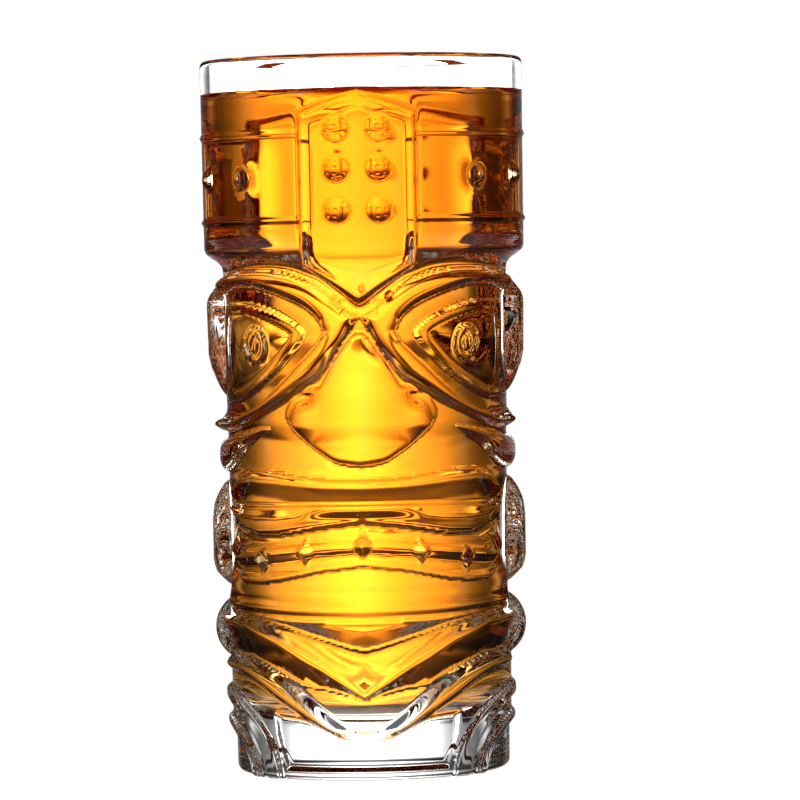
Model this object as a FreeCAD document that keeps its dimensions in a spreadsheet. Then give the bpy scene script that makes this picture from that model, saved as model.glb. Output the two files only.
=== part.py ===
import FreeCAD, Part
import math
import os
import Sketcher

# Tiki tumbler: one piece of moulded clear glass, carved in relief, and the drink it holds.
#
# Frame: +Z up, origin at the centre of the base, one face looks along -Y, +X to the right of
# someone who looks at it. The same face is on the other side, along +Y. Millimetres.
#
# The wall is turned. The carving stands proud of it: each raised shape is an outline on the front
# plane, run both ways from the axis and cut off by a cylinder that sets how far it stands out.
# An outline is the right half of the shape, as (arc, height) points: arc is measured round the
# wall from the middle of the face, height up from the base.

Vector = FreeCAD.Vector
os.makedirs("parts", exist_ok=True)
doc = FreeCAD.newDocument("TikiTumbler")

# ---------------------------------------------------------------- driving dimensions
DIMENSIONS = {
    # the turned wall
    "total_height": 160.0,
    "head_radius": 36.2,  # headband, outside
    "face_radius": 31.5,  # wall behind the face, outside
    "head_wall": 2.1,
    "face_wall": 2.4,
    "floor_height": 13.0,  # inside floor above the table
    "floor_round": 9.0,  # radius between the inside floor and the wall
    "fill_height": 151.0,  # surface of the drink
    "neck_height": 113.0,  # where the wall starts to widen under the headband
    "under_head_height": 115.6,
    "head_edge": 1.8,  # bevel under the headband
    "shoulder_height": 121.0,  # where the inside reaches its full width
    "rim_round": 0.9,
    "heel": 1.5,  # bevel round the standing ring
    "punt_radius": 24.0,  # shallow hollow under the base
    "punt_depth": 1.2,
    # rings and studs of the headband
    "low_ring_height": 123.6,
    "high_ring_height": 142.7,
    "ring_section": 0.9,  # radius of a ring's round section
    "ring_proud": 0.45,
    "stud_radius": 2.7,  # where a stud meets the wall
    "stud_proud": 1.4,
    "band_stud_height": 133.2,
    "band_stud_first": 47.0,  # degrees from the middle of the face
    "band_stud_second": 71.0,
    # forehead panel
    "panel_front": 37.2,  # its front from the axis
    "panel_bend": 80.0,  # radius of its front
    "panel_stud_offset": 4.4,
    "panel_stud_low": 125.4,
    "panel_stud_pitch": 9.1,
    # how far the carving stands out from the wall behind the face
    "socket_proud": 2.0,  # band round the eye socket, which is also the brow
    "eyelid_proud": 1.6,
    "eyeball_proud": 1.0,
    "pupil_proud": 1.5,
    "pupil_radius": 4.1,
    "cheek_proud": 1.7,
    "lip_proud": 2.2,
    "jaw_proud": 1.1,
    "teeth_proud": 1.9,
    "tooth_edge_proud": 2.6,
    "chevron_proud": 1.8,
    "arm_proud": 1.5,
    # nose, the front of an ellipsoid about the axis
    "nose_front": 37.6,
    "nose_height": 79.0,
    "nose_half_width": 26.0,
    "nose_half_height": 40.0,
    # ears and knobs at the two sides
    "ear_depth": 17.0,  # front to back
    "upper_ear_radius": 35.8,
    "lower_ear_radius": 35.3,
    "knob_radius": 8.0,
    "knob_centre": 27.1,  # from the axis
    "knob_height": 32.5,
    # arched grooves of the legs, one pair on each side of the foot
    "outer_arch": 28.0,  # half width at the table
    "inner_arch": 22.5,
    "arch_rise": 0.72,  # height over half width
    "groove_width": 1.6,
    "groove_depth": 0.7,
}

dims = doc.addObject("Spreadsheet::Sheet", "Dims")
for row, (alias, value) in enumerate(DIMENSIONS.items(), start=1):
    dims.set(f"A{row}", alias.replace("_", " "))
    dims.set(f"B{row}", str(value))
    dims.setAlias(f"B{row}", alias)
doc.recompute()


def number(expression):
    """The value of an expression over the sheet."""
    value = dims.evalExpression(expression)
    return float(getattr(value, "Value", value))


def bind(thing, **expressions):
    """Binds properties of a document object to expressions over the sheet."""
    for name, expression in expressions.items():
        thing.setExpression(name.replace("__", "."), expression)
    return thing


# ---------------------------------------------------------------- turned shapes
def turned_profile(body, name, corners):
    """A sketch on the body's own XZ plane; corners are (radius, height) pairs of expressions."""
    sketch = body.newObject("Sketcher::SketchObject", name)
    plane = next(f for f in body.Origin.OriginFeatures if f.Role == "XZ_Plane")
    sketch.AttachmentSupport = [(plane, "")]
    sketch.MapMode = "FlatFace"
    points = [Vector(number(radius), number(height), 0) for radius, height in corners]
    for start, end in zip(points, points[1:] + points[:1]):
        sketch.addGeometry(Part.LineSegment(start, end), False)
    for i, (corner, point) in enumerate(zip(corners, points)):
        previous = (i - 1) % len(corners)
        sketch.addConstraint(Sketcher.Constraint("Coincident", previous, 2, i, 1))
        for kind, expression, value in zip(("DistanceX", "DistanceY"), corner, point):
            constraint = sketch.addConstraint(Sketcher.Constraint(kind, -1, 1, i, 1, value))
            sketch.setExpression(f"Constraints[{constraint}]", expression)
    sketch.Visibility = False
    return sketch


def turn(body, kind, name, sketch):
    """Turns a profile round the body's Z axis, as a PartDesign Revolution or Groove."""
    axis = next(f for f in body.Origin.OriginFeatures if f.Role == "Z_Axis")
    feature = body.newObject(f"PartDesign::{kind}", name)
    feature.Profile = sketch
    feature.ReferenceAxis = (axis, [""])
    feature.Angle = 360
    doc.recompute()
    return feature


def round_off(body, name, feature, circles, radius):
    """Fillets the circular edges of a feature that have the given (radius, height) pairs."""
    edges = []
    for index, edge in enumerate(feature.Shape.Edges, start=1):
        if not isinstance(edge.Curve, Part.Circle):
            continue
        for circle_radius, height in circles:
            same_radius = abs(edge.Curve.Radius - number(circle_radius)) < 0.01
            same_height = abs(edge.Curve.Center.z - number(height)) < 0.01
            if same_radius and same_height and edge.Length > edge.Curve.Radius:
                edges.append(f"Edge{index}")
    fillet = body.newObject("PartDesign::Fillet", name)
    fillet.Base = (feature, edges)
    fillet.setExpression("Radius", radius)
    doc.recompute()
    return fillet


INSIDE_HEAD = "Dims.head_radius - Dims.head_wall"
INSIDE_FACE = "Dims.face_radius - Dims.face_wall"


def inside_corners(top):
    """The hollow of the tumbler, from the floor up to a given height."""
    return [
        ("0", "Dims.floor_height"),
        (INSIDE_FACE, "Dims.floor_height"),
        (INSIDE_FACE, "Dims.neck_height + 1.5"),
        (INSIDE_HEAD, "Dims.shoulder_height"),
        (INSIDE_HEAD, top),
        ("0", top),
    ]


def turned_wall():
    """The wall and the base, without the carving."""
    body = doc.addObject("PartDesign::Body", "Wall")
    outside = turned_profile(body, "WallOutside", [
        ("0", "Dims.punt_depth"),
        ("Dims.punt_radius", "Dims.punt_depth"),
        ("Dims.punt_radius + 2 * Dims.punt_depth", "0"),
        ("Dims.face_radius - Dims.heel", "0"),
        ("Dims.face_radius", "Dims.heel"),
        ("Dims.face_radius", "Dims.neck_height"),
        ("Dims.head_radius - Dims.head_edge", "Dims.under_head_height"),
        ("Dims.head_radius", "Dims.under_head_height + Dims.head_edge"),
        ("Dims.head_radius", "Dims.total_height"),
        ("0", "Dims.total_height"),
    ])
    turn(body, "Revolution", "WallTurned", outside)
    inside = turned_profile(body, "WallInside", inside_corners("Dims.total_height"))
    hollow = turn(body, "Groove", "WallHollow", inside)
    floor_edge = [(INSIDE_FACE, "Dims.floor_height")]
    floor = round_off(body, "FloorRound", hollow, floor_edge, "Dims.floor_round")
    rim_edges = [("Dims.head_radius", "Dims.total_height"), (INSIDE_HEAD, "Dims.total_height")]
    body.Tip = round_off(body, "RimRound", floor, rim_edges, "Dims.rim_round")
    return body


def drink():
    """The drink, which fills the hollow to a little under the rim."""
    body = doc.addObject("PartDesign::Body", "Drink")
    body.Label = "drink"
    profile = turned_profile(body, "DrinkProfile", inside_corners("Dims.fill_height"))
    turned = turn(body, "Revolution", "DrinkTurned", profile)
    floor_edge = [(INSIDE_FACE, "Dims.floor_height")]
    body.Tip = round_off(body, "DrinkRound", turned, floor_edge, "Dims.floor_round")
    return body


def wall_core():
    """The middle of the wall and everything inside it: what the carving must not reach into."""
    body = doc.addObject("PartDesign::Body", "Core")
    profile = turned_profile(body, "CoreProfile", [
        ("0", "0 - 1"),
        ("Dims.face_radius - 1", "0 - 1"),
        ("Dims.face_radius - 1", "Dims.under_head_height"),
        ("Dims.head_radius - 1", "Dims.shoulder_height"),
        ("Dims.head_radius - 1", "Dims.total_height + 1"),
        ("0", "Dims.total_height + 1"),
    ])
    body.Tip = turn(body, "Revolution", "CoreTurned", profile)
    return body


# ---------------------------------------------------------------- carved outlines
# A run of two points is a straight edge, of three an arc, of more a smooth curve.
PANEL = [
    [(0, 151.5), (13.5, 147)],
    [(13.5, 147), (13.5, 113.5)],
    [(13.5, 113.5), (10, 111.5), (5, 108.4), (0, 105)],
]
SOCKET = [
    [(42, 111), (25, 113), (13, 110.8), (5, 105.6), (1.4, 102)],
    [(1.4, 102), (3, 97), (10, 88.5), (20, 83), (37, 78.6)],
    [(37, 78.6), (37.5, 80.6)],
    [(37.5, 80.6), (27, 82.5), (12, 94), (8.4, 99)],
    [(8.4, 99), (15, 105.5), (25, 108.5), (42, 107.6)],
    [(42, 107.6), (42, 111)],
]
EYELID = [
    [(39.5, 105.5), (22, 104.2), (13, 99.5)],
    [(13, 99.5), (13, 98)],
    [(13, 98), (21, 89.6), (33, 84.2), (38.5, 84.2)],
    [(38.5, 84.2), (39.5, 105.5)],
]
EYE = [
    [(37.4, 103.4), (22, 102), (15.6, 99.2)],
    [(15.6, 99.2), (15.6, 98)],
    [(15.6, 98), (22, 91.5), (33, 86.2), (36.8, 86.2)],
    [(36.8, 86.2), (37.4, 103.4)],
]
NOSE = [
    [(0, 99.5), (1.6, 98.5)],
    [(1.6, 98.5), (5, 94), (9, 87.2)],
    [(9, 87.2), (14.5, 86.2), (18, 81.5)],
    [(18, 81.5), (16.5, 77.6), (8, 72), (0, 69.2)],
]
CHEEK = [
    [(24, 77.4), (41, 75.4)],
    [(41, 75.4), (41, 68.0)],
    [(41, 68.0), (33, 72.4), (24, 77.4)],
]
LIPS = [
    [(0, 66.3), (10, 66.8), (28, 68.8), (36, 65.6), (38.5, 60.5)],
    [(38.5, 60.5), (35, 57.2), (26, 53.7), (10, 55.5), (0, 56.7)],
]
MOUTH = [
    [(0, 65), (10, 65), (20, 64), (30, 61.8)],
    [(30, 61.8), (0, 61.8)],
]
JAW = [
    [(0, 57.5), (26, 55), (37.5, 60)],
    [(37.5, 60), (40, 51), (36, 44.4), (27, 43.2), (10, 46), (0, 47.2)],
]
TEETH = [
    [(0, 51.9), (20, 50.9), (36, 49.6)],
    [(36, 49.6), (35, 47.2)],
    [(35, 47.2), (20, 48.1), (0, 49.1)],
]
CHEVRON = [
    [(0, 28.6), (10, 31), (30, 35.5)],
    [(30, 35.5), (30, 34.4)],
    [(30, 34.4), (15, 28.5), (0, 18.3)],
]
ARM = [
    [(40, 27), (30, 26.4), (14, 20), (4, 11.5), (1.3, 9.3)],
    [(1.3, 9.3), (3.2, 8.8)],
    [(3.2, 8.8), (10, 12), (20, 17.5), (30, 22), (40, 23.5)],
    [(40, 23.5), (40, 27)],
]
TOOTH_EDGES = [(0, 51.9), (13.3, 50.4), (25.5, 48.2)]
TOOTH_EDGE_SIZE = (2.2, 2.9)


def tooth_edge(arc, height):
    """The right half, or the whole, of a diamond-shaped ridge between two teeth."""
    half_width, half_height = TOOTH_EDGE_SIZE
    top, right = (arc, height + half_height), (arc + half_width, height)
    bottom, left = (arc, height - half_height), (arc - half_width, height)
    if arc == 0:
        return [[top, right], [right, bottom]]
    return [[top, right], [right, bottom], [bottom, left], [left, top]]


def edge_through(points):
    if len(points) == 2:
        return Part.LineSegment(*points)
    if len(points) == 3:
        return Part.Arc(*points)
    curve = Part.BSplineCurve()
    curve.interpolate(points)
    return curve


def front_outline(name, *outlines):
    """A sketch on the front plane: each outline and its mirror image."""
    sketch = doc.addObject("Sketcher::SketchObject", name)
    sketch.Placement = FreeCAD.Placement(Vector(), FreeCAD.Rotation(Vector(1, 0, 0), 90))
    radius = number("Dims.face_radius")
    for outline in outlines:
        for run in outline:
            for side in (1, -1):
                points = [
                    Vector(side * radius * math.sin(arc / radius), height, 0)
                    for arc, height in run
                ]
                sketch.addGeometry(edge_through(points), False)
    sketch.Visibility = False
    return sketch


def run_out(sketch, name, length):
    """Extrudes a sketch of the front plane by the same length to the front and to the back."""
    extrusion = doc.addObject("Part::Extrusion", name)
    extrusion.Base = sketch
    extrusion.DirMode = "Custom"
    extrusion.Dir = Vector(0, 1, 0)
    extrusion.setExpression("LengthFwd", length)
    extrusion.Solid = True
    extrusion.Symmetric = True
    extrusion.FaceMakerClass = "Part::FaceMakerBullseye"
    return extrusion


def cylinder(name, radius):
    """A cylinder about the tumbler's axis, from below the base to above the rim."""
    limit = doc.addObject("Part::Cylinder", name)
    bind(limit, Radius=radius, Height="Dims.total_height + 4", Placement__Base__z="0 - 2")
    return limit


def boolean(kind, name, base, tool):
    result = doc.addObject(f"Part::{kind}", name)
    result.Base = base
    result.Tool = tool
    return result


def raised(name, proud, *outlines):
    """Raised carving that stands out from the face wall by the sheet's value."""
    sketch = front_outline(name + "Outline", *outlines)
    block = run_out(sketch, name + "Block", "4 * Dims.head_radius")
    limit = cylinder(name + "Limit", f"Dims.face_radius + Dims.{proud}")
    return boolean("Common", name, block, limit)


# ---------------------------------------------------------------- head
def stud(name, radius, angle, height, across, along):
    """A low dome on the wall; across and along pick its side, each 1 or -1."""
    dome = doc.addObject("Part::Sphere", name)
    round_radius = "(Dims.stud_radius^2 + Dims.stud_proud^2) / (2 * Dims.stud_proud)"
    from_axis = f"({radius} + Dims.stud_proud - {round_radius})"
    bind(
        dome,
        Radius=round_radius,
        Placement__Base__x=f"{across} * {from_axis} * sin({angle})",
        Placement__Base__y=f"{along} * {from_axis} * cos({angle})",
        Placement__Base__z=height,
    )
    return dome


def head_relief():
    """Two rings, the studs between them and the forehead panels with their studs."""
    pieces = []
    for name, height in (("LowRing", "low_ring_height"), ("HighRing", "high_ring_height")):
        ring = doc.addObject("Part::Torus", name)
        bind(
            ring,
            Radius1="Dims.head_radius + Dims.ring_proud - Dims.ring_section",
            Radius2="Dims.ring_section",
            Placement__Base__z=f"Dims.{height}",
        )
        pieces.append(ring)
    heights = [f"Dims.panel_stud_low + {row} * Dims.panel_stud_pitch" for row in range(3)]
    for side, (across, along) in enumerate(((1, -1), (-1, -1), (1, 1), (-1, 1)), start=1):
        for index, angle in enumerate(("Dims.band_stud_first", "Dims.band_stud_second"), start=1):
            name = f"BandStud{index}Side{side}"
            place = ("Dims.head_radius", angle, "Dims.band_stud_height", across, along)
            pieces.append(stud(name, *place))
        angle = "asin(Dims.panel_stud_offset / Dims.panel_front)"
        for row, height in enumerate(heights, start=1):
            name = f"PanelStud{row}Side{side}"
            pieces.append(stud(name, "Dims.panel_front", angle, height, across, along))
    pieces.append(panels())
    return pieces


def panels():
    """Forehead panels with slightly bent fronts, before and behind."""
    block = run_out(front_outline("PanelOutline", PANEL), "PanelBlock", "4 * Dims.head_radius")
    result = doc.addObject("Part::MultiCommon", "Panels")
    bends = []
    for name, sign in (("PanelBendFront", ""), ("PanelBendBack", "0 - ")):
        bend = cylinder(name, "Dims.panel_bend")
        bind(bend, Placement__Base__y=f"{sign}(Dims.panel_bend - Dims.panel_front)")
        bends.append(bend)
    result.Shapes = [block] + bends
    return result


# ---------------------------------------------------------------- face
def pupils():
    """Round pupils, flat-fronted like the rest of the carving."""
    middle = (25.4, 96.2)
    radius = number("Dims.pupil_radius")
    arc, height = middle
    left, right = (arc - radius, height), (arc + radius, height)
    circle = [
        [left, (arc, height + radius), right],
        [right, (arc, height - radius), left],
    ]
    return raised("Pupils", "pupil_proud", circle)


def nose():
    sketch = front_outline("NoseOutline", NOSE)
    block = run_out(sketch, "NoseBlock", "4 * Dims.head_radius")
    form = doc.addObject("Part::Ellipsoid", "NoseForm")
    bind(
        form,
        Radius1="Dims.nose_half_height",
        Radius2="Dims.nose_half_width",
        Radius3="Dims.nose_front",
        Placement__Base__z="Dims.nose_height",
    )
    return boolean("Common", "Nose", block, form)


def face_relief():
    tooth_edges = [tooth_edge(arc, height) for arc, height in TOOTH_EDGES]
    return [
        raised("Sockets", "socket_proud", SOCKET),
        raised("Eyelids", "eyelid_proud", EYELID, EYE),
        raised("Eyeballs", "eyeball_proud", EYE),
        pupils(),
        nose(),
        raised("Cheeks", "cheek_proud", CHEEK),
        raised("Lips", "lip_proud", LIPS, MOUTH),
        raised("Jaw", "jaw_proud", JAW),
        raised("Teeth", "teeth_proud", TEETH),
        raised("ToothEdges", "tooth_edge_proud", *tooth_edges),
        raised("Chevron", "chevron_proud", CHEVRON),
        raised("Arms", "arm_proud", ARM),
    ]


# ---------------------------------------------------------------- sides
def ear(name, radius, profile):
    """An ear on each side: a profile (from axis, height) run front to back, rounded to a cylinder."""
    sketch = doc.addObject("Sketcher::SketchObject", name + "Profile")
    sketch.Placement = FreeCAD.Placement(Vector(), FreeCAD.Rotation(Vector(1, 0, 0), 90))
    for side in (1, -1):
        corners = [Vector(side * x, height, 0) for x, height in profile]
        for start, end in zip(corners, corners[1:] + corners[:1]):
            sketch.addGeometry(Part.LineSegment(start, end), False)
    sketch.Visibility = False
    block = run_out(sketch, name + "Block", "Dims.ear_depth")
    return boolean("Common", name, block, cylinder(name + "Limit", f"Dims.{radius}"))


def side_relief():
    upper = [(28, 112), (32, 112), (37, 106.5), (37, 94), (35, 91), (32, 85), (28, 85)]
    lower = [(28, 65.5), (32.3, 65.5), (35.5, 60.5), (37, 57), (37, 48), (34.6, 45), (32, 42.3), (28, 42.3)]
    pieces = [ear("UpperEars", "upper_ear_radius", upper), ear("LowerEars", "lower_ear_radius", lower)]
    for side, sign in (("Left", "0 - "), ("Right", "")):
        knob = doc.addObject("Part::Sphere", f"Knob{side}")
        bind(
            knob,
            Radius="Dims.knob_radius",
            Placement__Base__x=f"{sign}Dims.knob_centre",
            Placement__Base__z="Dims.knob_height",
        )
        pieces.append(knob)
    return pieces


def arch_groove(name, half_width):
    """An arched band across the tumbler at both sides of the foot, used to cut a groove."""
    rings = []
    for part, grown in (("Outer", "Dims.groove_width / 2"), ("Inner", "0 - Dims.groove_width / 2")):
        arch = doc.addObject("Part::Ellipsoid", name + part)
        bind(
            arch,
            Radius1=f"{half_width} * Dims.arch_rise + {grown}",
            Radius2="1000",
            Radius3=f"{half_width} + {grown}",
        )
        rings.append(arch)
    return boolean("Cut", name, *rings)


def leg_grooves():
    """Two arched grooves on each side of the foot, as deep as the sheet says."""
    pair = doc.addObject("Part::MultiFuse", "LegArches")
    pair.Shapes = [
        arch_groove("OuterArch", "Dims.outer_arch"),
        arch_groove("InnerArch", "Dims.inner_arch"),
    ]
    keep = cylinder("LegKeep", "Dims.face_radius - Dims.groove_depth")
    shell = boolean("Cut", "LegShell", cylinder("LegReach", "Dims.face_radius + 1"), keep)
    return boolean("Common", "LegGrooves", pair, shell)


# ---------------------------------------------------------------- the tumbler
def tumbler():
    relief = doc.addObject("Part::MultiFuse", "Relief")
    relief.Shapes = head_relief() + face_relief() + side_relief()
    carving = boolean("Cut", "Carving", relief, wall_core())
    carved = doc.addObject("Part::MultiFuse", "CarvedWall")
    carved.Shapes = [turned_wall(), carving]
    result = boolean("Cut", "Tumbler", carved, leg_grooves())
    result.Label = "glass_tumbler"
    return result


nodes = [tumbler(), drink()]
doc.recompute()

for thing in doc.Objects:
    if "Invalid" in thing.State or "Error" in thing.State:
        raise RuntimeError(f"{thing.Name} did not recompute: {thing.State}")
for node in nodes:
    if node.Shape.isNull() or not node.Shape.isValid():
        raise RuntimeError(f"{node.Label} has no valid shape")
    if len(node.Shape.Solids) != 1:
        raise RuntimeError(f"{node.Label} is {len(node.Shape.Solids)} solids, not one")
    node.Shape.exportStep(f"parts/{node.Label}.step")
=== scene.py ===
import math

import bpy
import numpy as np
from mathutils import Matrix, Vector


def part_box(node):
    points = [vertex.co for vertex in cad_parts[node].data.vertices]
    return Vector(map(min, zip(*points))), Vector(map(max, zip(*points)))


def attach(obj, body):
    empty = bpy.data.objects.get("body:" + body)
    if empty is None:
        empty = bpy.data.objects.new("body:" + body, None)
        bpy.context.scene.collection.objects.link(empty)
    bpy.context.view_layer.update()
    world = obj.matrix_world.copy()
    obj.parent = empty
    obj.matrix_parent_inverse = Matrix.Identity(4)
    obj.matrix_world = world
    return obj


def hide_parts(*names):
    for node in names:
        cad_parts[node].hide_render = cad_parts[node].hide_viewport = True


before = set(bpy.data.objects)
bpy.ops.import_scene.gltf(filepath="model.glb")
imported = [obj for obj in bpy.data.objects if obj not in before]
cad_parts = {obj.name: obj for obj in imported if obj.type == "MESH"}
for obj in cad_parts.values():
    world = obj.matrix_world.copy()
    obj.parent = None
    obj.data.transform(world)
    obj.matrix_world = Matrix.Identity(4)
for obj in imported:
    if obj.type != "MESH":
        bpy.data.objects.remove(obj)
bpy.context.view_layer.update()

# A moulded clear glass tumbler with a tiki face, and its amber drink.
#
# The glass is one closed mesh: a grid of rings round the axis, from the middle of the base out and
# up the carved outside, over the rim, down the inside and back to the axis. Its outside is a turned
# profile plus relief, and its inside follows that relief a little. Lengths are millimetres on a
# glass 160 mm tall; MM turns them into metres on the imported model. A place on the wall is an
# (arc, height) pair: the arc is measured round the wall from the middle of the face.

HEIGHT = 160.0
TUMBLER_LOW, TUMBLER_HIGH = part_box("glass_tumbler")
DRINK_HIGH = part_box("drink")[1]
MM = (TUMBLER_HIGH[2] - TUMBLER_LOW[2]) / HEIGHT
FILL = DRINK_HIGH[2] / MM

# radii at which arcs are measured round the wall, by zone
HEAD_R = 36.2
EYE_R = 33.0
MOUTH_R = 32.5
FOOT_R = 31.8

FACE_BASE = 31.3  # turned wall under the face's relief
WALL_HEAD = 2.1
WALL_FACE = 2.4
FLOOR = 12.0  # height of the hollow's floor
FLOOR_RISE = 0.15  # how much higher the middle of that floor is
FLOOR_CORNER = 12.0  # radius between the wall and that floor
OVERLAP = 0.15  # how far the drink reaches into the glass, so that no air shows between them
BEVEL = 1.6  # at the foot
LIP = 1.1  # height of the rim's rounding
PUNT = 1.4  # height of the shallow hollow under the base
RING_R = 24.0  # inner radius of the ring that the glass stands on


# ---------------------------------------------------------------- grid of the outside
ANGLE_STEP = 0.75
HEIGHT_STEP = 0.42
ANGLES = np.radians(np.arange(-180.0, 180.0, ANGLE_STEP))  # round the axis from the face's middle
HEIGHTS = np.arange(BEVEL, HEIGHT - LIP, HEIGHT_STEP)
THETA, Z = np.meshgrid(ANGLES, HEIGHTS)  # rows are heights

# TURN is the angle from the middle of the nearer face: there is one in front and the same one,
# shallower, behind. BEHIND goes from 0 in front to 1 behind. The head is turned a degree or two
# against the face below it, more so behind.
BACK_STARTS, BACK_FULL = 84.0, 96.0
HEAD_TURN, HEAD_TURN_BEHIND = 0.8, 2.3
NECK_LOW, NECK_HIGH = 96.0, 112.0
BEHIND = np.clip((np.degrees(np.abs(THETA)) - BACK_STARTS) / (BACK_FULL - BACK_STARTS), 0.0, 1.0)
TWIST = np.radians(HEAD_TURN + (HEAD_TURN_BEHIND - HEAD_TURN) * BEHIND)
TWIST *= np.clip((Z - NECK_LOW) / (NECK_HIGH - NECK_LOW), 0.0, 1.0)
SHIFTED = np.abs(THETA - TWIST)
TURN = np.abs(np.minimum(SHIFTED, math.pi - SHIFTED))


# ---------------------------------------------------------------- shape tools
def smooth(t):
    """0 below 0, 1 above 1, a smooth step between."""
    t = np.clip(t, 0.0, 1.0)
    return t * t * (3.0 - 2.0 * t)


def curve_points(run, step=0.8):
    """Points along a run: straight for two points, a Catmull-Rom curve for more."""
    run = [np.array(p, float) for p in run]
    if len(run) == 2:
        return run
    padded = [2 * run[0] - run[1]] + run + [2 * run[-1] - run[-2]]
    points = []
    for before, start, end, after in zip(padded, padded[1:], padded[2:], padded[3:]):
        count = max(2, int(np.linalg.norm(end - start) / step))
        for t in np.arange(count) / count:
            points.append(0.5 * (2 * start + (end - before) * t
                                 + (2 * before - 5 * start + 4 * end - after) * t * t
                                 + (3 * start - before - 3 * end + after) * t ** 3))
    return points + [run[-1]]


def outline_points(*runs):
    """Points along several runs, each of which is a straight line or a curve."""
    points = []
    for run in runs:
        points += curve_points(run)
    return np.array(points)


def line_distance(points, radius):
    """Distance in mm of each grid point from a line of (arc, height) points."""
    arc = TURN * radius
    best = np.full(arc.shape, 1e9)
    for (u0, z0), (u1, z1) in zip(points[:-1], points[1:]):
        du, dz = u1 - u0, z1 - z0
        length = du * du + dz * dz
        if length < 1e-9:
            continue
        t = np.clip(((arc - u0) * du + (Z - z0) * dz) / length, 0.0, 1.0)
        best = np.minimum(best, (arc - u0 - t * du) ** 2 + (Z - z0 - t * dz) ** 2)
    return np.sqrt(best)


def inside(points, radius):
    """Which grid points a closed outline holds. One that ends on the middle line is closed there."""
    closed = [tuple(p) for p in points]
    if abs(closed[0][0]) < 1e-6 and abs(closed[-1][0]) < 1e-6:
        closed += [(-5.0, closed[-1][1]), (-5.0, closed[0][1])]
    arc = TURN * radius
    held = np.zeros(arc.shape, bool)
    for (u0, z0), (u1, z1) in zip(closed, closed[1:] + closed[:1]):
        if z0 == z1:
            continue
        crosses = (Z > min(z0, z1)) & (Z <= max(z0, z1))
        held ^= crosses & (arc < u0 + (Z - z0) * (u1 - u0) / (z1 - z0))
    return held


def depth_inside(radius, *runs):
    """Signed distance from an outline in mm, positive inside it."""
    points = outline_points(*runs)
    distance = line_distance(points, radius)
    return np.where(inside(points, radius), distance, -distance)


def plateau(depth, height, slope):
    """A flat top with an S-shaped side of the given width, centred on the outline."""
    return height * smooth(depth / slope + 0.5)


def pillow(depth, height, reach):
    """A rounded top that rises from the outline and is flat further in than reach."""
    t = np.clip(depth / reach, 0.0, 1.0)
    return height * np.sqrt(1.0 - (1.0 - t) ** 2)


def ridge(radius, half_width, height, *runs):
    """A rounded ridge, or a groove with a negative height, along a line."""
    t = np.clip(line_distance(outline_points(*runs), radius) / half_width, 0.0, 1.0)
    return height * (0.5 + 0.5 * np.cos(math.pi * t))


def dome(radius, arc, height, size, proud):
    """A round stud: part of a ball."""
    ball = (size * size + proud * proud) / (2 * proud)
    square = (TURN * radius - arc) ** 2 + (Z - height) ** 2
    return np.clip(np.sqrt(np.clip(ball * ball - square, 0, None)) - ball + proud, 0, None)


def facet(radius, top, bottom, profile, end):
    """Relief between two lines of (arc, height) points. The profile is a list of (share of the
    way down, height of the relief), and the relief fades out over 2 mm before the arc end."""
    arc = TURN * radius
    high = np.interp(arc, *zip(*top))
    low = np.interp(arc, *zip(*bottom))
    down = (high - Z) / np.maximum(high - low, 0.3)
    height = np.interp(down, *zip(*profile))
    return np.where((down > 0) & (down < 1), height, 0) * smooth((end - arc) / 2.0)


def ridge_round(height, half_width, proud):
    """A ridge all the way round."""
    t = np.clip(np.abs(Z - height) / half_width, 0, 1)
    return proud * (0.5 + 0.5 * np.cos(math.pi * t))


def blurred(values, rows, columns):
    """The grid's values averaged over a window of rows and columns, wrapping round the axis."""
    for axis, reach in ((0, rows), (1, columns)):
        kernel = np.hanning(2 * reach + 3)[1:-1]
        kernel /= kernel.sum()
        if axis == 0:
            padded = np.pad(values, ((reach, reach), (0, 0)), mode="edge")
        else:
            padded = np.pad(values, ((0, 0), (reach, reach)), mode="wrap")
        values = sum(k * np.take(padded, range(i, i + values.shape[axis]), axis)
                     for i, k in enumerate(kernel))
    return values


# ---------------------------------------------------------------- turned profile
PROFILE = [(0, 31.3), (25, 31.6), (41, 31.1), (60, 31.3), (75, 31.3), (84, 31.6), (100, 31.9),
           (111.5, 31.9), (113.6, 32.1), (114.8, 33.0), (115.7, 34.4), (116.6, 35.6),
           (117.6, 36.05), (123, 36.1), (142, 36.2), (160, 36.35)]  # (height, radius)


def turned_radius():
    """Outside radius without relief."""
    return np.interp(Z, *zip(*PROFILE))


# ---------------------------------------------------------------- headband and forehead panel
RINGS = [(123.7, 0.5), (142.7, 0.45)]  # (height, how proud)
RING_HALF = 0.9
BAND_STUD_ANGLES = (46.0, 70.0)
BAND_STUD_HEIGHT = 133.2
PANEL = [[(0, 151.5), (7, 149.4), (12.8, 147.2)], [(12.8, 147.2), (12.8, 113.2)],
         [(12.8, 113.2), (10, 111.5), (5, 108.2), (1.2, 105.4), (0, 105)]]
PANEL_FRONT = 37.5  # distance of its middle from the axis
PANEL_BEND, PANEL_BEND_BEHIND = 240.0, 48.0  # radius of its slight curve
PANEL_STUD_HEIGHTS = (143.7, 134.8, 125.6)
PANEL_STUD_ARC = 4.4


def head_relief():
    """Rings and studs of the headband."""
    studs = np.zeros(Z.shape)
    for angle in BAND_STUD_ANGLES:
        studs = np.maximum(studs, dome(HEAD_R, math.radians(angle) * HEAD_R, BAND_STUD_HEIGHT, 2.6, 1.5))
    return sum(ridge_round(height, RING_HALF, proud) for height, proud in RINGS) + studs


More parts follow.
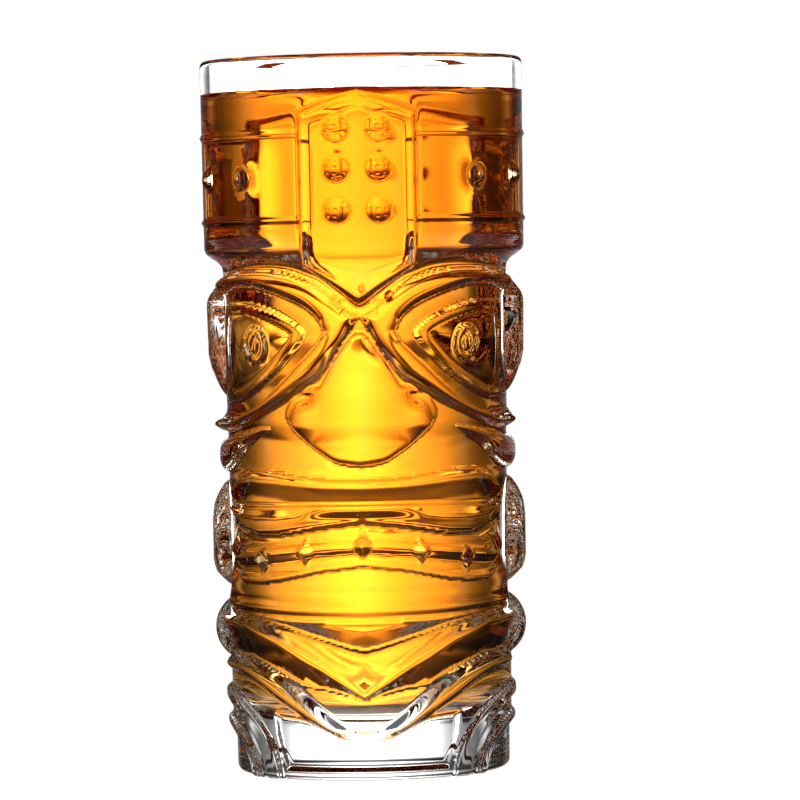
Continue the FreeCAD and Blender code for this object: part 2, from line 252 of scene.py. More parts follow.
def panel_radius():
    """The forehead panel: how fully each grid point belongs to it, and how far its nearly flat
    front, with border and studs, is from the axis."""
    bend = np.where(BEHIND > 0.5, PANEL_BEND_BEHIND, PANEL_BEND)
    back = bend - PANEL_FRONT
    flat = -back * np.cos(TURN) + np.sqrt(bend ** 2 - (back * np.sin(TURN)) ** 2)
    depth = depth_inside(HEAD_R, *PANEL)
    edge = 0.7 * smooth(depth / 0.8 + 0.5) + 0.3 * smooth((depth - 0.4) / 1.0)
    border = (0.2 + 0.6 * BEHIND) * (1 - smooth((depth - 0.5) / (1.2 + 2.2 * BEHIND)))
    border *= 1 - BEHIND * smooth((Z - 138) / 6)
    studs = np.zeros(Z.shape)
    for height in PANEL_STUD_HEIGHTS:
        studs = np.maximum(studs, dome(HEAD_R, PANEL_STUD_ARC, height, 2.75, 1.3))
    return edge, flat + border + (1 - 0.3 * BEHIND) * studs


# ---------------------------------------------------------------- eyes and nose
SOCKET_TOP = [(0, 102.3), (3, 103.8), (5, 105.5), (10, 109.2), (15, 111.3), (20, 112.4), (27, 112.8),
              (38, 112.2), (46, 111)]
BROW_GROOVE = [(4, 106.6), (10, 110.6), (15, 112.6), (20, 113.7), (27, 114.0), (38, 113.4), (50, 112.5)]
SOCKET_UPPER = [(44, 107.6), (35, 109), (25, 108.5), (15, 105.5), (10, 102.3), (8.2, 99)]
SOCKET_LOWER = [(8.2, 99), (9.5, 96.5), (12, 94), (20, 87), (27, 82.6), (35, 80.5), (44, 79.8)]
NOSE_SIDE = [(44, 76.8), (36, 77.8), (28, 80), (20, 83), (15, 85.5), (10, 88.5), (6, 93), (3, 97),
             (1.2, 101), (0, 102.3)]
EYE_OUTER = [[(39.5, 105.4), (30, 105.8), (22, 104.2), (16, 101.8), (12.7, 99.4)],
             [(12.7, 99.4), (13.2, 97.2), (20.5, 90), (27, 86), (33, 84), (39, 84)],
             [(39, 84), (40.3, 95), (39.5, 105.4)]]
EYE = [[(37, 103.5), (30, 103.8), (22, 102), (17, 100), (15.4, 98.7)],
       [(15.4, 98.7), (16.3, 97), (22, 91.5), (27, 88.5), (33, 86), (37, 86)],
       [(37, 86), (38.2, 95), (37, 103.5)]]
LID_RISE = 1.25
PUPIL_ARC, PUPIL_HEIGHT = 25.3, 96.2
PUPIL_GROOVE = [(26.4, 99.6), (28.0, 98.0), (27.4, 96.0), (26.2, 94.4), (27.0, 93.0)]
PUPIL_LEAF = [(24.6, 98.4), (23.4, 96.6), (24.0, 94.6), (25.2, 94.2), (25.6, 96.4), (24.6, 98.4)]
NOSE = [[(0, 99), (2, 98), (5, 94), (8, 89), (9.4, 87), (12, 87), (15, 86), (17.6, 83), (18.4, 80.4),
         (16.6, 77.6)],
        [(16.6, 77.6), (12, 74.2), (8, 71.6), (5, 70), (0, 69.2)]]
NOSE_RISE = [(66, 5.6), (70, 5.9), (74, 6.1), (79, 6.0), (83, 5.2), (90, 3.9), (99, 3.0)]
NOSE_HALF = [(68, 12), (72, 14), (75, 15.5), (78, 17.5), (84, 15), (90, 9), (98, 4)]


def eye_relief():
    """The raised band round each socket, and in the socket the lids, the eye and its pupil."""
    arc = TURN * EYE_R
    band = depth_inside(EYE_R, SOCKET_TOP, [(46, 111), (44, 107.6)], SOCKET_UPPER, SOCKET_LOWER,
                        [(44, 79.8), (44, 76.8)], NOSE_SIDE)
    socket = pillow(band, 2.7, 2.6)
    lids = depth_inside(EYE_R, *EYE_OUTER)
    eye = depth_inside(EYE_R, *EYE)
    ball = 0.2 + pillow(eye, 1.7, 7.0)
    eyes = np.where(eye > 0, np.maximum(ball, LID_RISE * smooth(1 - eye / 0.8)),
                    plateau(lids, LID_RISE, 0.9))
    ring = np.hypot((arc - PUPIL_ARC) / 3.7, (Z - PUPIL_HEIGHT) / 4.2)
    eyes += smooth((1.0 - ring) / 0.16)
    eyes += ridge(EYE_R, 0.9, -1.1, PUPIL_GROOVE) + ridge(EYE_R, 0.6, -0.7, PUPIL_LEAF)
    hollow = depth_inside(EYE_R, SOCKET_UPPER, SOCKET_LOWER, [(44, 79.8), (44, 107.6)])
    valley = -2.3 * smooth((arc - 8.5) / 10) * (1 - smooth((arc - 24) / 16)) * smooth(hollow / 1.2)
    return np.where(hollow > 0, np.maximum(socket, eyes + valley * (lids < 0.3)), socket)


def nose_relief():
    """A rounded wedge with two wings, and a pocket over each wing."""
    depth = depth_inside(EYE_R, *NOSE)
    arc = TURN * EYE_R
    rise = np.interp(Z, *zip(*NOSE_RISE))
    half = np.interp(Z, *zip(*NOSE_HALF))
    across = np.clip(1.0 - (arc / half) ** 2, 0.0, 1.0)
    body = rise * (0.16 + 0.84 * across) * pillow(depth, 1.0, 1.3)
    wings = 1.5 * np.exp(-((arc - 13.2) / 3.4) ** 2 - ((Z - 80.2) / 3.6) ** 2)
    pockets = -1.7 * np.exp(-((arc - 12.2) / 2.4) ** 2 - ((Z - 84.4) / 1.5) ** 2)
    return np.where(depth > 0, body + (wings + pockets) * smooth(depth / 2), 0)


# ---------------------------------------------------------------- mouth
# Each FACET below is a profile: (share of the way from its upper line to its lower, relief).
MOUTH_TOP = [(0, 66.3), (10, 66.8), (20, 68.2), (28, 68.8), (33, 67.8), (37, 64.5), (38.6, 61)]
MOUTH_BOTTOM = [(38.6, 61), (38, 59.6), (35, 57.2), (31, 54.7), (26, 53.7), (20, 54), (10, 55.5), (0, 56.7)]
CREASE = [(0, 61.2), (12, 61.1), (24, 60.9), (34, 60.8), (38.6, 60.9)]
JAW_TOP = [(0, 57.0), (10, 55.9), (20, 54.4), (26, 54.1), (31, 55.1), (35, 57.6), (38, 60), (40.4, 56)]
JAW_BOTTOM = [(0, 47.2), (10, 46), (20, 44), (27, 43.2), (33, 43.5), (38, 45.5), (40.4, 50)]
TOOTH_LINE = [(0, 51.9), (12, 51.4), (25, 50.3), (36, 49.0), (40.4, 52)]
TOOTH_MARKS = [(0, 51.9, 3.0), (13.3, 50.4, 2.7), (25.5, 48.4, 2.4)]  # (arc, height, size)
MOUTH_END, JAW_END = 38.8, 40.4
UPPER_FACET = [(0, 0.7), (0.1, 1.5), (0.24, 2.1), (0.34, 2.1), (1, 0.5)]
LOWER_FACET = [(0, 0.7), (0.12, 1.5), (0.35, 2.1), (0.5, 2.2), (0.8, 1.9), (1, 1.1)]
JAW_FACET = [(0, -0.4), (0.3, -0.2), (0.7, 0.5), (0.88, 1.3), (1, 1.6)]
UNDER_FACET = [(0, 1.6), (0.12, 1.5), (0.4, 0.5), (0.6, 0.5), (0.88, 1.3), (1, 0.8)]


def mouth_relief():
    """Two lips, with a swelling in the middle of the lower one, and the jaw with its tooth marks."""
    arc = TURN * MOUTH_R
    upper = facet(MOUTH_R, MOUTH_TOP, CREASE, UPPER_FACET, MOUTH_END)
    lower = facet(MOUTH_R, CREASE, MOUTH_BOTTOM[::-1], LOWER_FACET, MOUTH_END)
    swelling = 1.9 * smooth((Z - 57.7) / 2.9) * smooth((61.5 - Z) / 0.8) * np.exp(-(arc / 11.5) ** 4)
    lower += swelling * (lower > 0)
    jaw = facet(MOUTH_R, JAW_TOP, TOOTH_LINE, JAW_FACET, JAW_END)
    under = facet(MOUTH_R, TOOTH_LINE, JAW_BOTTOM, UNDER_FACET, JAW_END)
    marks = np.zeros(Z.shape)
    for middle, height, size in TOOTH_MARKS:
        away = np.abs(arc - middle) / 1.9 + np.abs(Z - height) / (size + 0.6)
        marks = np.maximum(marks, 2.3 * np.clip(1.1 - away, 0, 1))
    return np.maximum(upper + lower, jaw + under + marks)


# ---------------------------------------------------------------- chin, chevrons and arms
CHIN_TOP = [(0, 46.5), (44, 46.5)]
CHIN_LOW = [(0, 38.2), (20, 38.2), (44, 38.6)]
GOLD_LINE = [(0, 34.9), (20, 35.6), (35, 36.6), (44, 37)]
CHEVRON_TOP = [(0, 28.6), (3, 29.2), (10, 31.2), (20, 34), (30, 35.6), (44, 36.6)]
CHEVRON_BOTTOM = [(0, 18.3), (5, 22), (10, 25.5), (15, 28.5), (20, 31), (30, 34.3), (44, 35.2)]
DARK_BOTTOM = [(0, 18.0), (6, 19.6), (10, 20.4), (14, 20.6), (20, 23.8), (30, 26.8), (44, 27.6)]
ARM = [[(42, 27.2), (30, 26.5), (20, 23.2), (14, 20), (8, 14.5), (4, 11.4), (1.3, 9.3)],
       [(1.3, 9.3), (3.2, 8.6)],
       [(3.2, 8.6), (6, 9.0), (10, 11.3), (20, 17.0), (30, 21.7), (42, 23.3)],
       [(42, 23.3), (42, 27.2)]]
CHIN_FACET = [(0, 0), (1, 1.1)]
BELOW_CHIN_FACET = [(0, 1.1), (0.3, 0.9), (1, -0.2)]
TRIANGLE_FACET = [(0, 0.4), (0.3, 0.1), (1, -1.9)]
CHEVRON_FACET = [(0, -0.6), (0.1, 0.4), (0.85, 2.4), (1, 2.5)]
DARK_FACET = [(0, 2.5), (0.12, 2.3), (1, -0.7)]
CHIN_END, CHEVRON_END, TRIANGLE_END = 45, 44, 30
ARM_RISE, ARM_ROUNDING = 2.2, 2.6


def chin_relief():
    """The slanted facets below the jaw, and the arms, which lie over them."""
    arc = TURN * FOOT_R
    facets = facet(FOOT_R, CHIN_TOP, CHIN_LOW, CHIN_FACET, CHIN_END)
    facets += facet(FOOT_R, CHIN_LOW, GOLD_LINE, BELOW_CHIN_FACET, CHEVRON_END)
    facets += facet(FOOT_R, GOLD_LINE, CHEVRON_TOP, TRIANGLE_FACET, TRIANGLE_END)
    facets += facet(FOOT_R, CHEVRON_TOP, CHEVRON_BOTTOM, CHEVRON_FACET, CHEVRON_END)
    facets += facet(FOOT_R, CHEVRON_BOTTOM, DARK_BOTTOM, DARK_FACET, CHEVRON_END)
    line = ridge(FOOT_R, 0.9, 0.4, GOLD_LINE)
    crest = 1.2 * np.exp(-arc / 2.6) * smooth((CHEVRON_TOP[0][1] - Z) / 8) * smooth((Z - 17) / 2)
    limb = np.clip(depth_inside(FOOT_R, *ARM) / ARM_ROUNDING, 0, 1)
    arms = ARM_RISE * (1 - (1 - limb) ** 2)
    return np.where(limb > 0, np.maximum(arms, 0.1), facets) + line + crest


# ---------------------------------------------------------------- foot and cheeks
WINDOW = [[(0, 10.4), (8, 11), (15, 13.5), (22.5, 14.3)], [(22.5, 14.3), (21.6, 9), (19.2, 2.6)],
          [(19.2, 2.6), (0, 2.6)]]
LEG_ARCHES = [(29.5, 20.0, 2.6, 1.3), (22.5, 13.4, 2.0, 1.1)]  # (half width, top, half band, proud)
LEG_OPENING = (19.5, 10.5)  # (half width, top)
CHEEK = [[(22.5, 77.9), (27, 77.7), (34, 76.6), (44, 75.4), (58, 75.2)], [(58, 75.2), (58, 67.6)],
         [(58, 67.6), (46, 67.8), (38, 69.4), (32, 73), (26, 76.4), (22.5, 77.9)]]


def foot_relief():
    """The sunk window in front and the leg arches at the sides."""
    side = np.abs(TURN - 0.5 * math.pi) * FOOT_R
    relief = np.zeros(Z.shape)
    for half_width, top, width, proud in LEG_ARCHES:
        away = half_width * (np.hypot(side / half_width, Z / top) - 1.0)
        relief = np.maximum(relief, pillow(width - np.abs(away + width), proud, 1.6))
    opening = np.hypot(side / LEG_OPENING[0], Z / LEG_OPENING[1])
    relief -= 0.9 * smooth((1.05 - opening) / 0.15)
    return relief - plateau(depth_inside(FOOT_R, *WINDOW), 1.1, 1.2)


def side_relief():
    """The cheek, and a small bump over it at the side."""
    arc = TURN * MOUTH_R
    bumps = pillow(depth_inside(MOUTH_R, *CHEEK), 2.1, 3.4)
    small = 1.5 * np.exp(-((Z - 79.0) / 1.5) ** 2) * smooth((arc - 34) / 6)
    return np.maximum(bumps, small)


# ---------------------------------------------------------------- ears and knobs
EAR = [(84.5, 31), (85, 32.0), (86.5, 33.0), (88.4, 33.9), (89.8, 34.4), (91.2, 35.0), (92.5, 35.3),
       (94, 35.6), (104.5, 35.8), (106, 35.7), (107.3, 35.2), (108.9, 34.0), (110, 33.1), (111, 32.5),
       (111.6, 31)]  # (height, radius)
KNOB = [(41.8, 31), (42.3, 31.9), (43.6, 33.3), (45, 34.6), (46.5, 35.1), (48, 35.35), (57, 35.35),
        (60, 35.0), (61, 34.7), (62.7, 34.0), (64, 33.2), (65.3, 32.3), (65.8, 31)]
LUG_CENTRE = 26.5  # distance from the axis of the middle of the ear and the long knob
BALL_CENTRE, BALL_HEIGHT, BALL_R = 27.1, 32.5, 8.0  # the round knob
LUG_HALF_ANGLE = 0.6


def lug(side, centre, reach):
    """Distance from the axis of a round lug's surface: a circle of radius reach about centre."""
    square = reach ** 2 - (centre * np.sin(side)) ** 2
    surface = centre * np.cos(side) + np.sqrt(np.clip(square, 0, None))
    return np.where((square > 0) & (side < LUG_HALF_ANGLE), surface, 0)


def ear_radius(radius):
    """The distance from the axis that radius becomes with the ears and knobs at the two sides."""
    side = np.abs(TURN - 0.5 * math.pi)
    for outline in (EAR, KNOB):
        reach = np.interp(Z, *zip(*outline), left=0, right=0) - LUG_CENTRE
        radius = np.maximum(radius, np.where(reach > 0, lug(side, LUG_CENTRE, reach), 0))
    reach = np.sqrt(np.clip(BALL_R ** 2 - (Z - BALL_HEIGHT) ** 2, 0, None))
    return np.maximum(radius, lug(side, BALL_CENTRE, reach))


# ---------------------------------------------------------------- outside and inside
BACK_SHARE = 0.4  # how much of the face's relief, and of its nose, there is behind
MELT = [(90, 33.4), (122, 37.4)]  # (height, radius) of the back panel's melted foot
FOLLOW_FACE, FOLLOW_HEAD = 0.3, 0.85  # how much of the relief the inside follows
FOLLOW_ANGLE = math.radians(66)  # it does so up to this angle, so not at the ears


def outside_radius():
    """Radius of the outside over the grid."""
    nose_share = 1 - BEHIND * (1 - BACK_SHARE * smooth((Z - 70) / 10))
    face = np.maximum(eye_relief(), nose_share * nose_relief())
    face += ridge(EYE_R, 1.6, -1.5, BROW_GROOVE)
    face += mouth_relief() + chin_relief() + foot_relief()
    face += BEHIND * (BACK_SHARE * blurred(face, 2, 2) - face)
    radius = ear_radius(turned_radius() + face + side_relief() + head_relief())
    edge, panel = panel_radius()
    radius += edge * np.clip(panel - radius, 0, None)
    # behind, the panel's foot melts into the brow
    arc = TURN * HEAD_R
    melt = 0.95 * BEHIND * smooth((18 - arc) / 7) * smooth((Z - 90) / 7) * smooth((124 - Z) / 6)
    return radius + melt * (np.interp(Z, *zip(*MELT)) - radius)


def inside_radius(outside):
    """Radius of the hollow over the grid: smooth, and following the relief only a little."""
    face, head = FACE_BASE - WALL_FACE, HEAD_R - WALL_HEAD
    plain = blurred(np.interp(Z, [0, 113.5, 121, HEIGHT], [face, face, head, head + 0.15]), 9, 1)
    relief = blurred(outside - turned_radius(), 8, 5)
    follow = FOLLOW_FACE * smooth((Z - 22) / 12)
    follow += FOLLOW_HEAD * smooth((Z - 108) / 8) * smooth((157 - Z) / 6)
    return plain + follow * blurred(np.where(TURN < FOLLOW_ANGLE, 1.0, 0.0), 1, 9) * relief


# ---------------------------------------------------------------- meshes
INSIDE_STEP = 3  # the inside is smooth, so it takes every third height
FLOOR_FLAT_R = 18.9  # where the hollow's floor meets its rounded corner
CREEP, CREEP_REACH = 1.6, 0.9  # how high the drink climbs the glass, and over what distance


def ring_points(radius, height):
    """A ring of points; radius and height are single values or one value per angle."""
    radius = np.broadcast_to(radius, ANGLES.shape)
    height = np.broadcast_to(height, ANGLES.shape)
    return np.stack([radius * np.sin(ANGLES), -radius * np.cos(ANGLES), height], 1)


def add_object(name, points, faces):
    """A new object in the scene, from points in metres and faces."""
    mesh = bpy.data.meshes.new(name)
    mesh.from_pydata(points, [], faces)
    thing = bpy.data.objects.new(name, mesh)
    bpy.context.scene.collection.objects.link(thing)
    return thing


def ring_object(name, rings, z_start, z_end):
    """A closed, smooth object from rings of points, with a point on the axis at each end."""
    count = len(rings[0])
    points = np.concatenate([[[0, 0, z_start]], *rings, [[0, 0, z_end]]]) * MM
    start = np.arange(count)
    following = (start + 1) % count
    quads = []
    for ring in range(len(rings) - 1):
        low, high = 1 + ring * count, 1 + (ring + 1) * count
        quads.append(np.stack([low + start, low + following, high + following, high + start], 1))
    last = len(points) - 1
    top = last - count
    pairs = list(zip(start.tolist(), following.tolist()))
    fans = [[0, 1 + j, 1 + i] for i, j in pairs] + [[last, top + i, top + j] for i, j in pairs]
    thing = add_object(name, points.tolist(), np.concatenate(quads).tolist() + fans)
    thing.data.polygons.foreach_set("use_smooth", [True] * len(thing.data.polygons))
    thing.data.update()
    return thing


def inside_rings(inner, top, grown):
    """Rings down the hollow from a height to near the middle of its floor, grown into the glass."""
    rings = []
    corner = FLOOR_CORNER
    for row in range(len(HEIGHTS) - 1, -1, -INSIDE_STEP):
        if FLOOR + corner <= HEIGHTS[row] <= top:
            rings.append(ring_points(inner[row] + grown, HEIGHTS[row]))
    wall = inner[np.searchsorted(HEIGHTS, FLOOR + corner)] + grown
    for t in np.linspace(0, 0.5 * math.pi, 14)[1:]:
        rings.append(ring_points(wall - corner * (1 - math.cos(t)),
                                 FLOOR + corner - (corner + grown) * math.sin(t)))
    for radius in (16, 12, 8, 4):
        rise = FLOOR_RISE * (1 - (radius / FLOOR_FLAT_R) ** 2)
        rings.append(ring_points(radius, FLOOR - grown + rise))
    return rings


def glass_object(outer, inner):
    """The glass: underside, outside, rim and hollow."""
    rings = []
    # the underside's shallow hollow, the ring the glass stands on, and the bevel
    hollow_edge = 0.9
    for radius in (4, 8, 12, 16, 20, 22.5):
        rings.append(ring_points(radius, PUNT - (PUNT - hollow_edge) * (radius / RING_R) ** 2))
    for t in np.linspace(0, 1, 5):
        rings.append(ring_points(RING_R + 2.4 * t, hollow_edge * (1 - smooth(t))))
    for t in np.linspace(0, 0.5 * math.pi, 7)[:-1]:
        rings.append(ring_points(outer[0] - BEVEL * (1 - math.sin(t)), 1.5 * (1 - math.cos(t))))
    rings += [ring_points(radius, height) for radius, height in zip(outer, HEIGHTS)]
    # the rim, rounded from the outside to the inside
    half = (outer[-1] - inner[-1]) / 2
    lip = HEIGHT - HEIGHTS[-1]
    for t in np.linspace(0, math.pi, 13)[1:-1]:
        rings.append(ring_points(inner[-1] + half * (1 + math.cos(t)), HEIGHTS[-1] + lip * math.sin(t)))
    rings += inside_rings(inner, HEIGHT, 0.0)
    return ring_object("glass_tumbler_shell", rings, PUNT, FLOOR + FLOOR_RISE)


def drink_object(inner):
    """The drink: its floor, up the wall, where it climbs the glass, and its flat surface."""
    rings = inside_rings(inner, FILL, OVERLAP)[::-1]
    wall = inner[np.searchsorted(HEIGHTS, FILL)]
    rings.append(ring_points(wall + OVERLAP, FILL))
    rings.append(ring_points(wall + OVERLAP, FILL + CREEP))
    for away in (0.3, 0.7, 1.2, 1.8, 2.6, 3.6, 5, 7):
        rings.append(ring_points(wall - away, FILL + CREEP * math.exp(-away / CREEP_REACH)))
    for radius in (24, 18, 12, 6):
        rings.append(ring_points(radius, FILL))
    return ring_object("drink_body", rings, FLOOR - OVERLAP + FLOOR_RISE, FILL)


def faces_hollow(centre, normal):
    """Whether a face of the glass is on the hollow's side: on its wall or on its floor."""
    over_base = centre.z > 8 * MM and centre.to_2d().length < 29 * MM
    facing_axis = centre.x * normal.x + centre.y * normal.y < -1e-9
    return facing_axis or (over_base and normal.z > 0.7)


def wet_faces(thing, wet):
    """Gives the second material to the faces that touch the other piece."""
    for face in thing.data.polygons:
        if wet(face.center, face.normal):
            face.material_index = 1


# ---------------------------------------------------------------- materials
WETTED_MIRROR = (0.08, 0.08, 0.08, 1)
DRINK_COLOUR, DRINK_DENSITY = (0.91, 0.64, 0.012, 1), 86.0


def new_material(name):
    """A material, with its nodes, its links and its shader."""
    material = bpy.data.materials.new(name)
    material.use_nodes = True
    nodes = material.node_tree.nodes
    return material, nodes, material.node_tree.links, nodes["Principled BSDF"]


def noise(nodes, links, scale, detail=3.0):
    """A noise fixed to the piece, as a value from 0 to 1."""
    place = nodes.new("ShaderNodeTexCoord")
    texture = nodes.new("ShaderNodeTexNoise")
    texture.inputs["Scale"].default_value = scale
    texture.inputs["Detail"].default_value = detail
    links.new(place.outputs["Object"], texture.inputs["Vector"])
    return texture.outputs["Fac"]


def clear_material(name, ior, wet, tints, tint_scale):
    """What glass and drink share: clear, with two faint tints mixed by a noise. A wetted face
    mirrors hardly anything. The tints are (place in the ramp, colour) pairs."""
    material, nodes, links, shader = new_material(name)
    if wet:
        shader.inputs["Specular Tint"].default_value = WETTED_MIRROR
    shader.inputs["Transmission Weight"].default_value = 1.0
    shader.inputs["IOR"].default_value = ior
    ramp = nodes.new("ShaderNodeValToRGB")
    for element, (position, colour) in zip(ramp.color_ramp.elements, tints):
        element.position = position
        element.color = colour
    links.new(noise(nodes, links, tint_scale), ramp.inputs["Fac"])
    links.new(ramp.outputs["Color"], shader.inputs["Base Color"])
    return material, nodes, links, shader


def glass_material(name, wet):
    """Clear moulded glass: a faint ripple from the mould and slightly uneven polish."""
    tints = [(0.35, (0.985, 0.993, 0.99, 1)), (0.7, (0.995, 0.998, 0.996, 1))]
    material, nodes, links, shader = clear_material(name, 1.5, wet, tints, 60.0)
    polish = nodes.new("ShaderNodeMapRange")
    polish.inputs["To Min"].default_value = 0.0
    polish.inputs["To Max"].default_value = 0.012
    links.new(noise(nodes, links, 220.0), polish.inputs["Value"])
    links.new(polish.outputs["Result"], shader.inputs["Roughness"])
    ripple = nodes.new("ShaderNodeBump")
    ripple.inputs["Strength"].default_value = 0.2
    ripple.inputs["Distance"].default_value = 0.00006
    links.new(noise(nodes, links, 90.0, detail=2.0), ripple.inputs["Height"])
    links.new(ripple.outputs["Normal"], shader.inputs["Normal"])
    return material


def drink_material(name, wet):
    """Amber liquid: the colour comes from its depth. It mirrors only at its free surface."""
    tints = [(0.0, (0.99, 0.97, 0.92, 1)), (1.0, (1.0, 0.99, 0.96, 1))]
    material, nodes, links, shader = clear_material(name, 1.34, wet, tints, 45.0)
    shader.inputs["Roughness"].default_value = 0.0
    absorb = nodes.new("ShaderNodeVolumeAbsorption")
    absorb.inputs["Color"].default_value = DRINK_COLOUR
    absorb.inputs["Density"].default_value = DRINK_DENSITY
    links.new(absorb.outputs["Volume"], nodes["Material Output"].inputs["Volume"])
    return material


def floor_material():
    """Plain pale floor, white to the camera like the studio behind it."""
    material, nodes, links, _ = new_material("pale_floor")
    white = nodes.new("ShaderNodeEmission")
    white.inputs["Strength"].default_value = 1.0
    links.new(white.outputs["Emission"], nodes["Material Output"].inputs["Surface"])
    return material


# ---------------------------------------------------------------- studio
# The light behind the glass is worked out from the direction it comes from: by degrees round from
# straight behind the face, and by degrees above the horizon. PEAK scales the levels into ramps.
PEAK = 8.0
MIRRORED = 0.06  # share of the light that the outside of the glass mirrors
BACKLIGHT = [(0, 7.4), (4, 6.4), (8, 4.8), (12, 3.5), (16, 2.7), (21.6, 1.5), (25, 0.9), (29, 0.45),
             (34, 0.22), (41, 0.11), (50, 0.06), (62, 0.03), (180, 0.03)]
BACKLIGHT_RISE = [(-90, 0), (-45, 0), (-30, 0.6), (-18, 1.0), (-6, 1.0), (-3, 0.9), (2, 0.9), (4, 0.62),
                  (6, 0.32), (9, 0.13), (14, 0.05), (22, 0.025), (90, 0.02)]
# narrower windows that light the glass for whoever looks from the sides or from behind
OTHER_SIDES = [(0, 0), (39, 0), (42, 0.35), (45, 0.8), (48, 0.35), (51, 0), (82, 0), (86, 1.2), (90, 2.6),
               (94, 1.2), (98, 0), (129, 0), (132, 1.0), (135, 2.4), (138, 1.0), (141, 0), (173, 0),
               (176, 1.6), (180, 3.2)]
OTHER_RISE = [(-90, 0), (-34, 0), (-26, 0.8), (-4, 1.0), (0, 0.85), (3, 0.4), (6, 0.08), (9, 0)]
GROUND = [(-90, 0.25), (-45, 0.22), (-30, 0.06), (-18, 0), (90, 0)]


def round_ramp(angle, level):
    """A (degrees round, level) stop as a ramp's (position, value)."""
    return angle / 180, level / PEAK


def rise_ramp(angle, level):
    """A (degrees up, level) stop as a ramp's (position, value)."""
    return 0.5 + 0.5 * math.sin(math.radians(angle)), level


def ramp_node(nodes, stops):
    """A ramp of greys through (position, value) stops."""
    ramp = nodes.new("ShaderNodeValToRGB")
    elements = ramp.color_ramp.elements
    while len(elements) > 1:
        elements.remove(elements[0])
    elements[0].position, level = stops[0]
    elements[0].color = (level, level, level, 1)
    for position, level in stops[1:]:
        element = elements.new(position)
        element.color = (level, level, level, 1)
    return ramp


def studio_world():
    """A white studio, in which the glass has a bright window behind it for each side."""
    world = bpy.data.worlds.new("studio")
    world.use_nodes = True
    bpy.context.scene.world = world
    nodes, links = world.node_tree.nodes, world.node_tree.links
    background = nodes["Background"]
    background.inputs["Color"].default_value = (1, 1, 1, 1)
    place = nodes.new("ShaderNodeTexCoord")
    split = nodes.new("ShaderNodeSeparateXYZ")
    links.new(place.outputs["Generated"], split.inputs["Vector"])

    def maths(operation, *values):
        node = nodes.new("ShaderNodeMath")
        node.operation = operation
        for socket, value in zip(node.inputs, values):
            if isinstance(value, (int, float)):
                socket.default_value = value
            else:
                links.new(value, socket)
        return node.outputs["Value"]

    def shaded(place, to_stop, stops):
        ramp = ramp_node(nodes, [to_stop(*stop) for stop in stops])
        links.new(place, ramp.inputs["Fac"])
        return ramp.outputs["Color"]

    # how far round and how far up the direction is, both as a ramp's 0 to 1
    turned = maths("ABSOLUTE", maths("ARCTAN2", split.outputs["X"], split.outputs["Y"]))
    around = maths("MULTIPLY", turned, 1 / math.pi)
    high = maths("MULTIPLY_ADD", split.outputs["Z"], 0.5, 0.5)
    level = maths("MULTIPLY", shaded(around, round_ramp, BACKLIGHT),
                  shaded(high, rise_ramp, BACKLIGHT_RISE))
    others = maths("MULTIPLY", shaded(around, round_ramp, OTHER_SIDES),
                   shaded(high, rise_ramp, OTHER_RISE))
    level = maths("ADD", maths("ADD", level, others), shaded(high, rise_ramp, GROUND))
    # what the outside of the glass mirrors is dimmer, and the camera sees plain white
    ray = nodes.new("ShaderNodeLightPath")
    mirrored = maths("MULTIPLY_ADD", ray.outputs["Is Reflection Ray"], MIRRORED - 1, 1.0)
    level = maths("MULTIPLY", maths("MULTIPLY", level, PEAK), mirrored)
    camera = ray.outputs["Is Camera Ray"]
    unseen = maths("SUBTRACT", 1.0, camera)
    links.new(maths("ADD", maths("MULTIPLY", level, unseen), camera), background.inputs["Strength"])


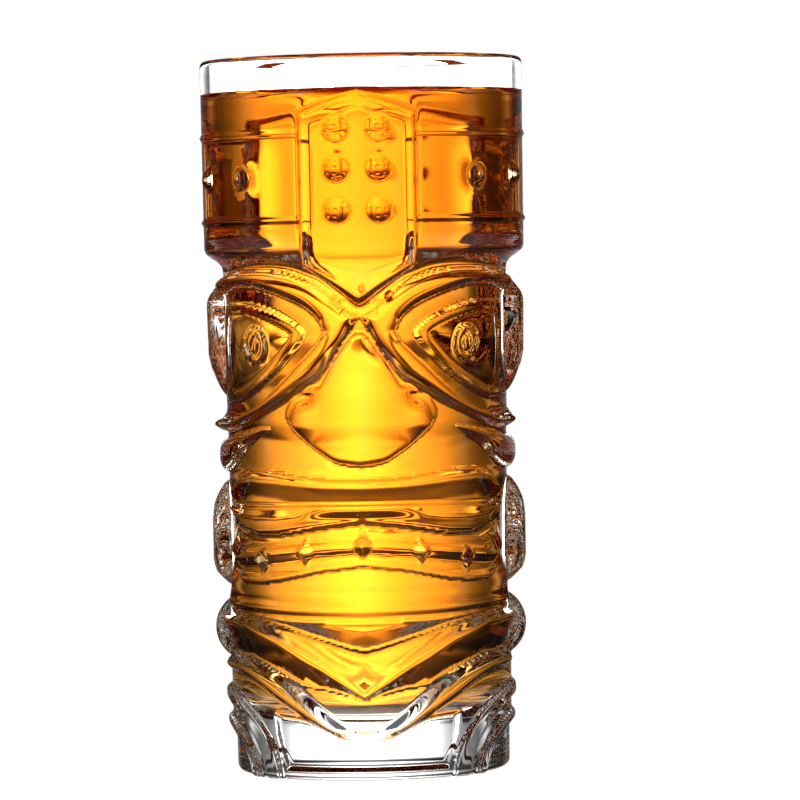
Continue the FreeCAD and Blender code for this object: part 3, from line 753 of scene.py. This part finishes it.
def add_floor():
    """A pale disc just under the glass. It adds nothing to what the glass reflects or bends."""
    corners = 64
    reach, drop = 0.6, 0.0002  # metres
    angles = 2 * math.pi * np.arange(corners) / corners
    height = np.full(corners, TUMBLER_LOW[2] - drop)
    points = np.stack([reach * np.cos(angles), reach * np.sin(angles), height], 1)
    floor = add_object("pale_floor", points.tolist(), [list(range(corners))])
    floor.data.materials.append(floor_material())
    for ray in ("diffuse", "glossy", "transmission"):
        setattr(floor, f"visible_{ray}", False)


CAMERA_AWAY = 1.13  # metres from the axis
CAMERA_HEIGHT = 0.1109
CAMERA_TURN = math.radians(2.7)  # to the right of the face
CAMERA_LEAN = math.radians(-1.07)
AIM_RIGHT, AIM_HEIGHT = 0.0075, 0.0830


def add_camera():
    """A long lens a little to the right of the face, level with its brow, leaning about a degree."""
    camera = bpy.data.cameras.new("camera")
    camera.sensor_width = 36.0
    camera.lens = 225.0
    thing = bpy.data.objects.new("camera", camera)
    bpy.context.scene.collection.objects.link(thing)
    sine, cosine = math.sin(CAMERA_TURN), math.cos(CAMERA_TURN)
    place = Vector((CAMERA_AWAY * sine, -CAMERA_AWAY * cosine, CAMERA_HEIGHT))
    aim = AIM_RIGHT * Vector((cosine, sine, 0)) + Vector((0, 0, AIM_HEIGHT))
    facing = (aim - place).normalized().to_track_quat("-Z", "Y").to_matrix()
    lean = Matrix.Rotation(CAMERA_LEAN, 3, "Z")
    thing.matrix_world = Matrix.Translation(place) @ (facing @ lean).to_4x4()
    bpy.context.scene.camera = thing


# ---------------------------------------------------------------- scene
scene = bpy.context.scene
scene.view_settings.view_transform = "Standard"
scene.cycles.max_bounces = 32
scene.cycles.transmission_bounces = 32
scene.cycles.glossy_bounces = 16
scene.cycles.transparent_max_bounces = 16
scene.cycles.caustics_reflective = True
scene.cycles.caustics_refractive = True

outer = outside_radius()
inner = inside_radius(outer)
shell = glass_object(outer, inner)
shell.data.materials.append(glass_material("clear_moulded_glass", wet=False))
shell.data.materials.append(glass_material("clear_moulded_glass_wetted", wet=True))
wet_faces(shell, lambda centre, normal: faces_hollow(centre, normal) and centre.z < FILL * MM)
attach(shell, "root")
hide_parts("glass_tumbler")

liquid = drink_object(inner)
liquid.data.materials.append(drink_material("amber_drink", wet=False))
liquid.data.materials.append(drink_material("amber_drink_against_glass", wet=True))
wet_faces(liquid, lambda centre, normal: centre.z < FILL * MM - 1e-6)
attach(liquid, "root")
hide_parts("drink")

studio_world()
add_floor()
add_camera()
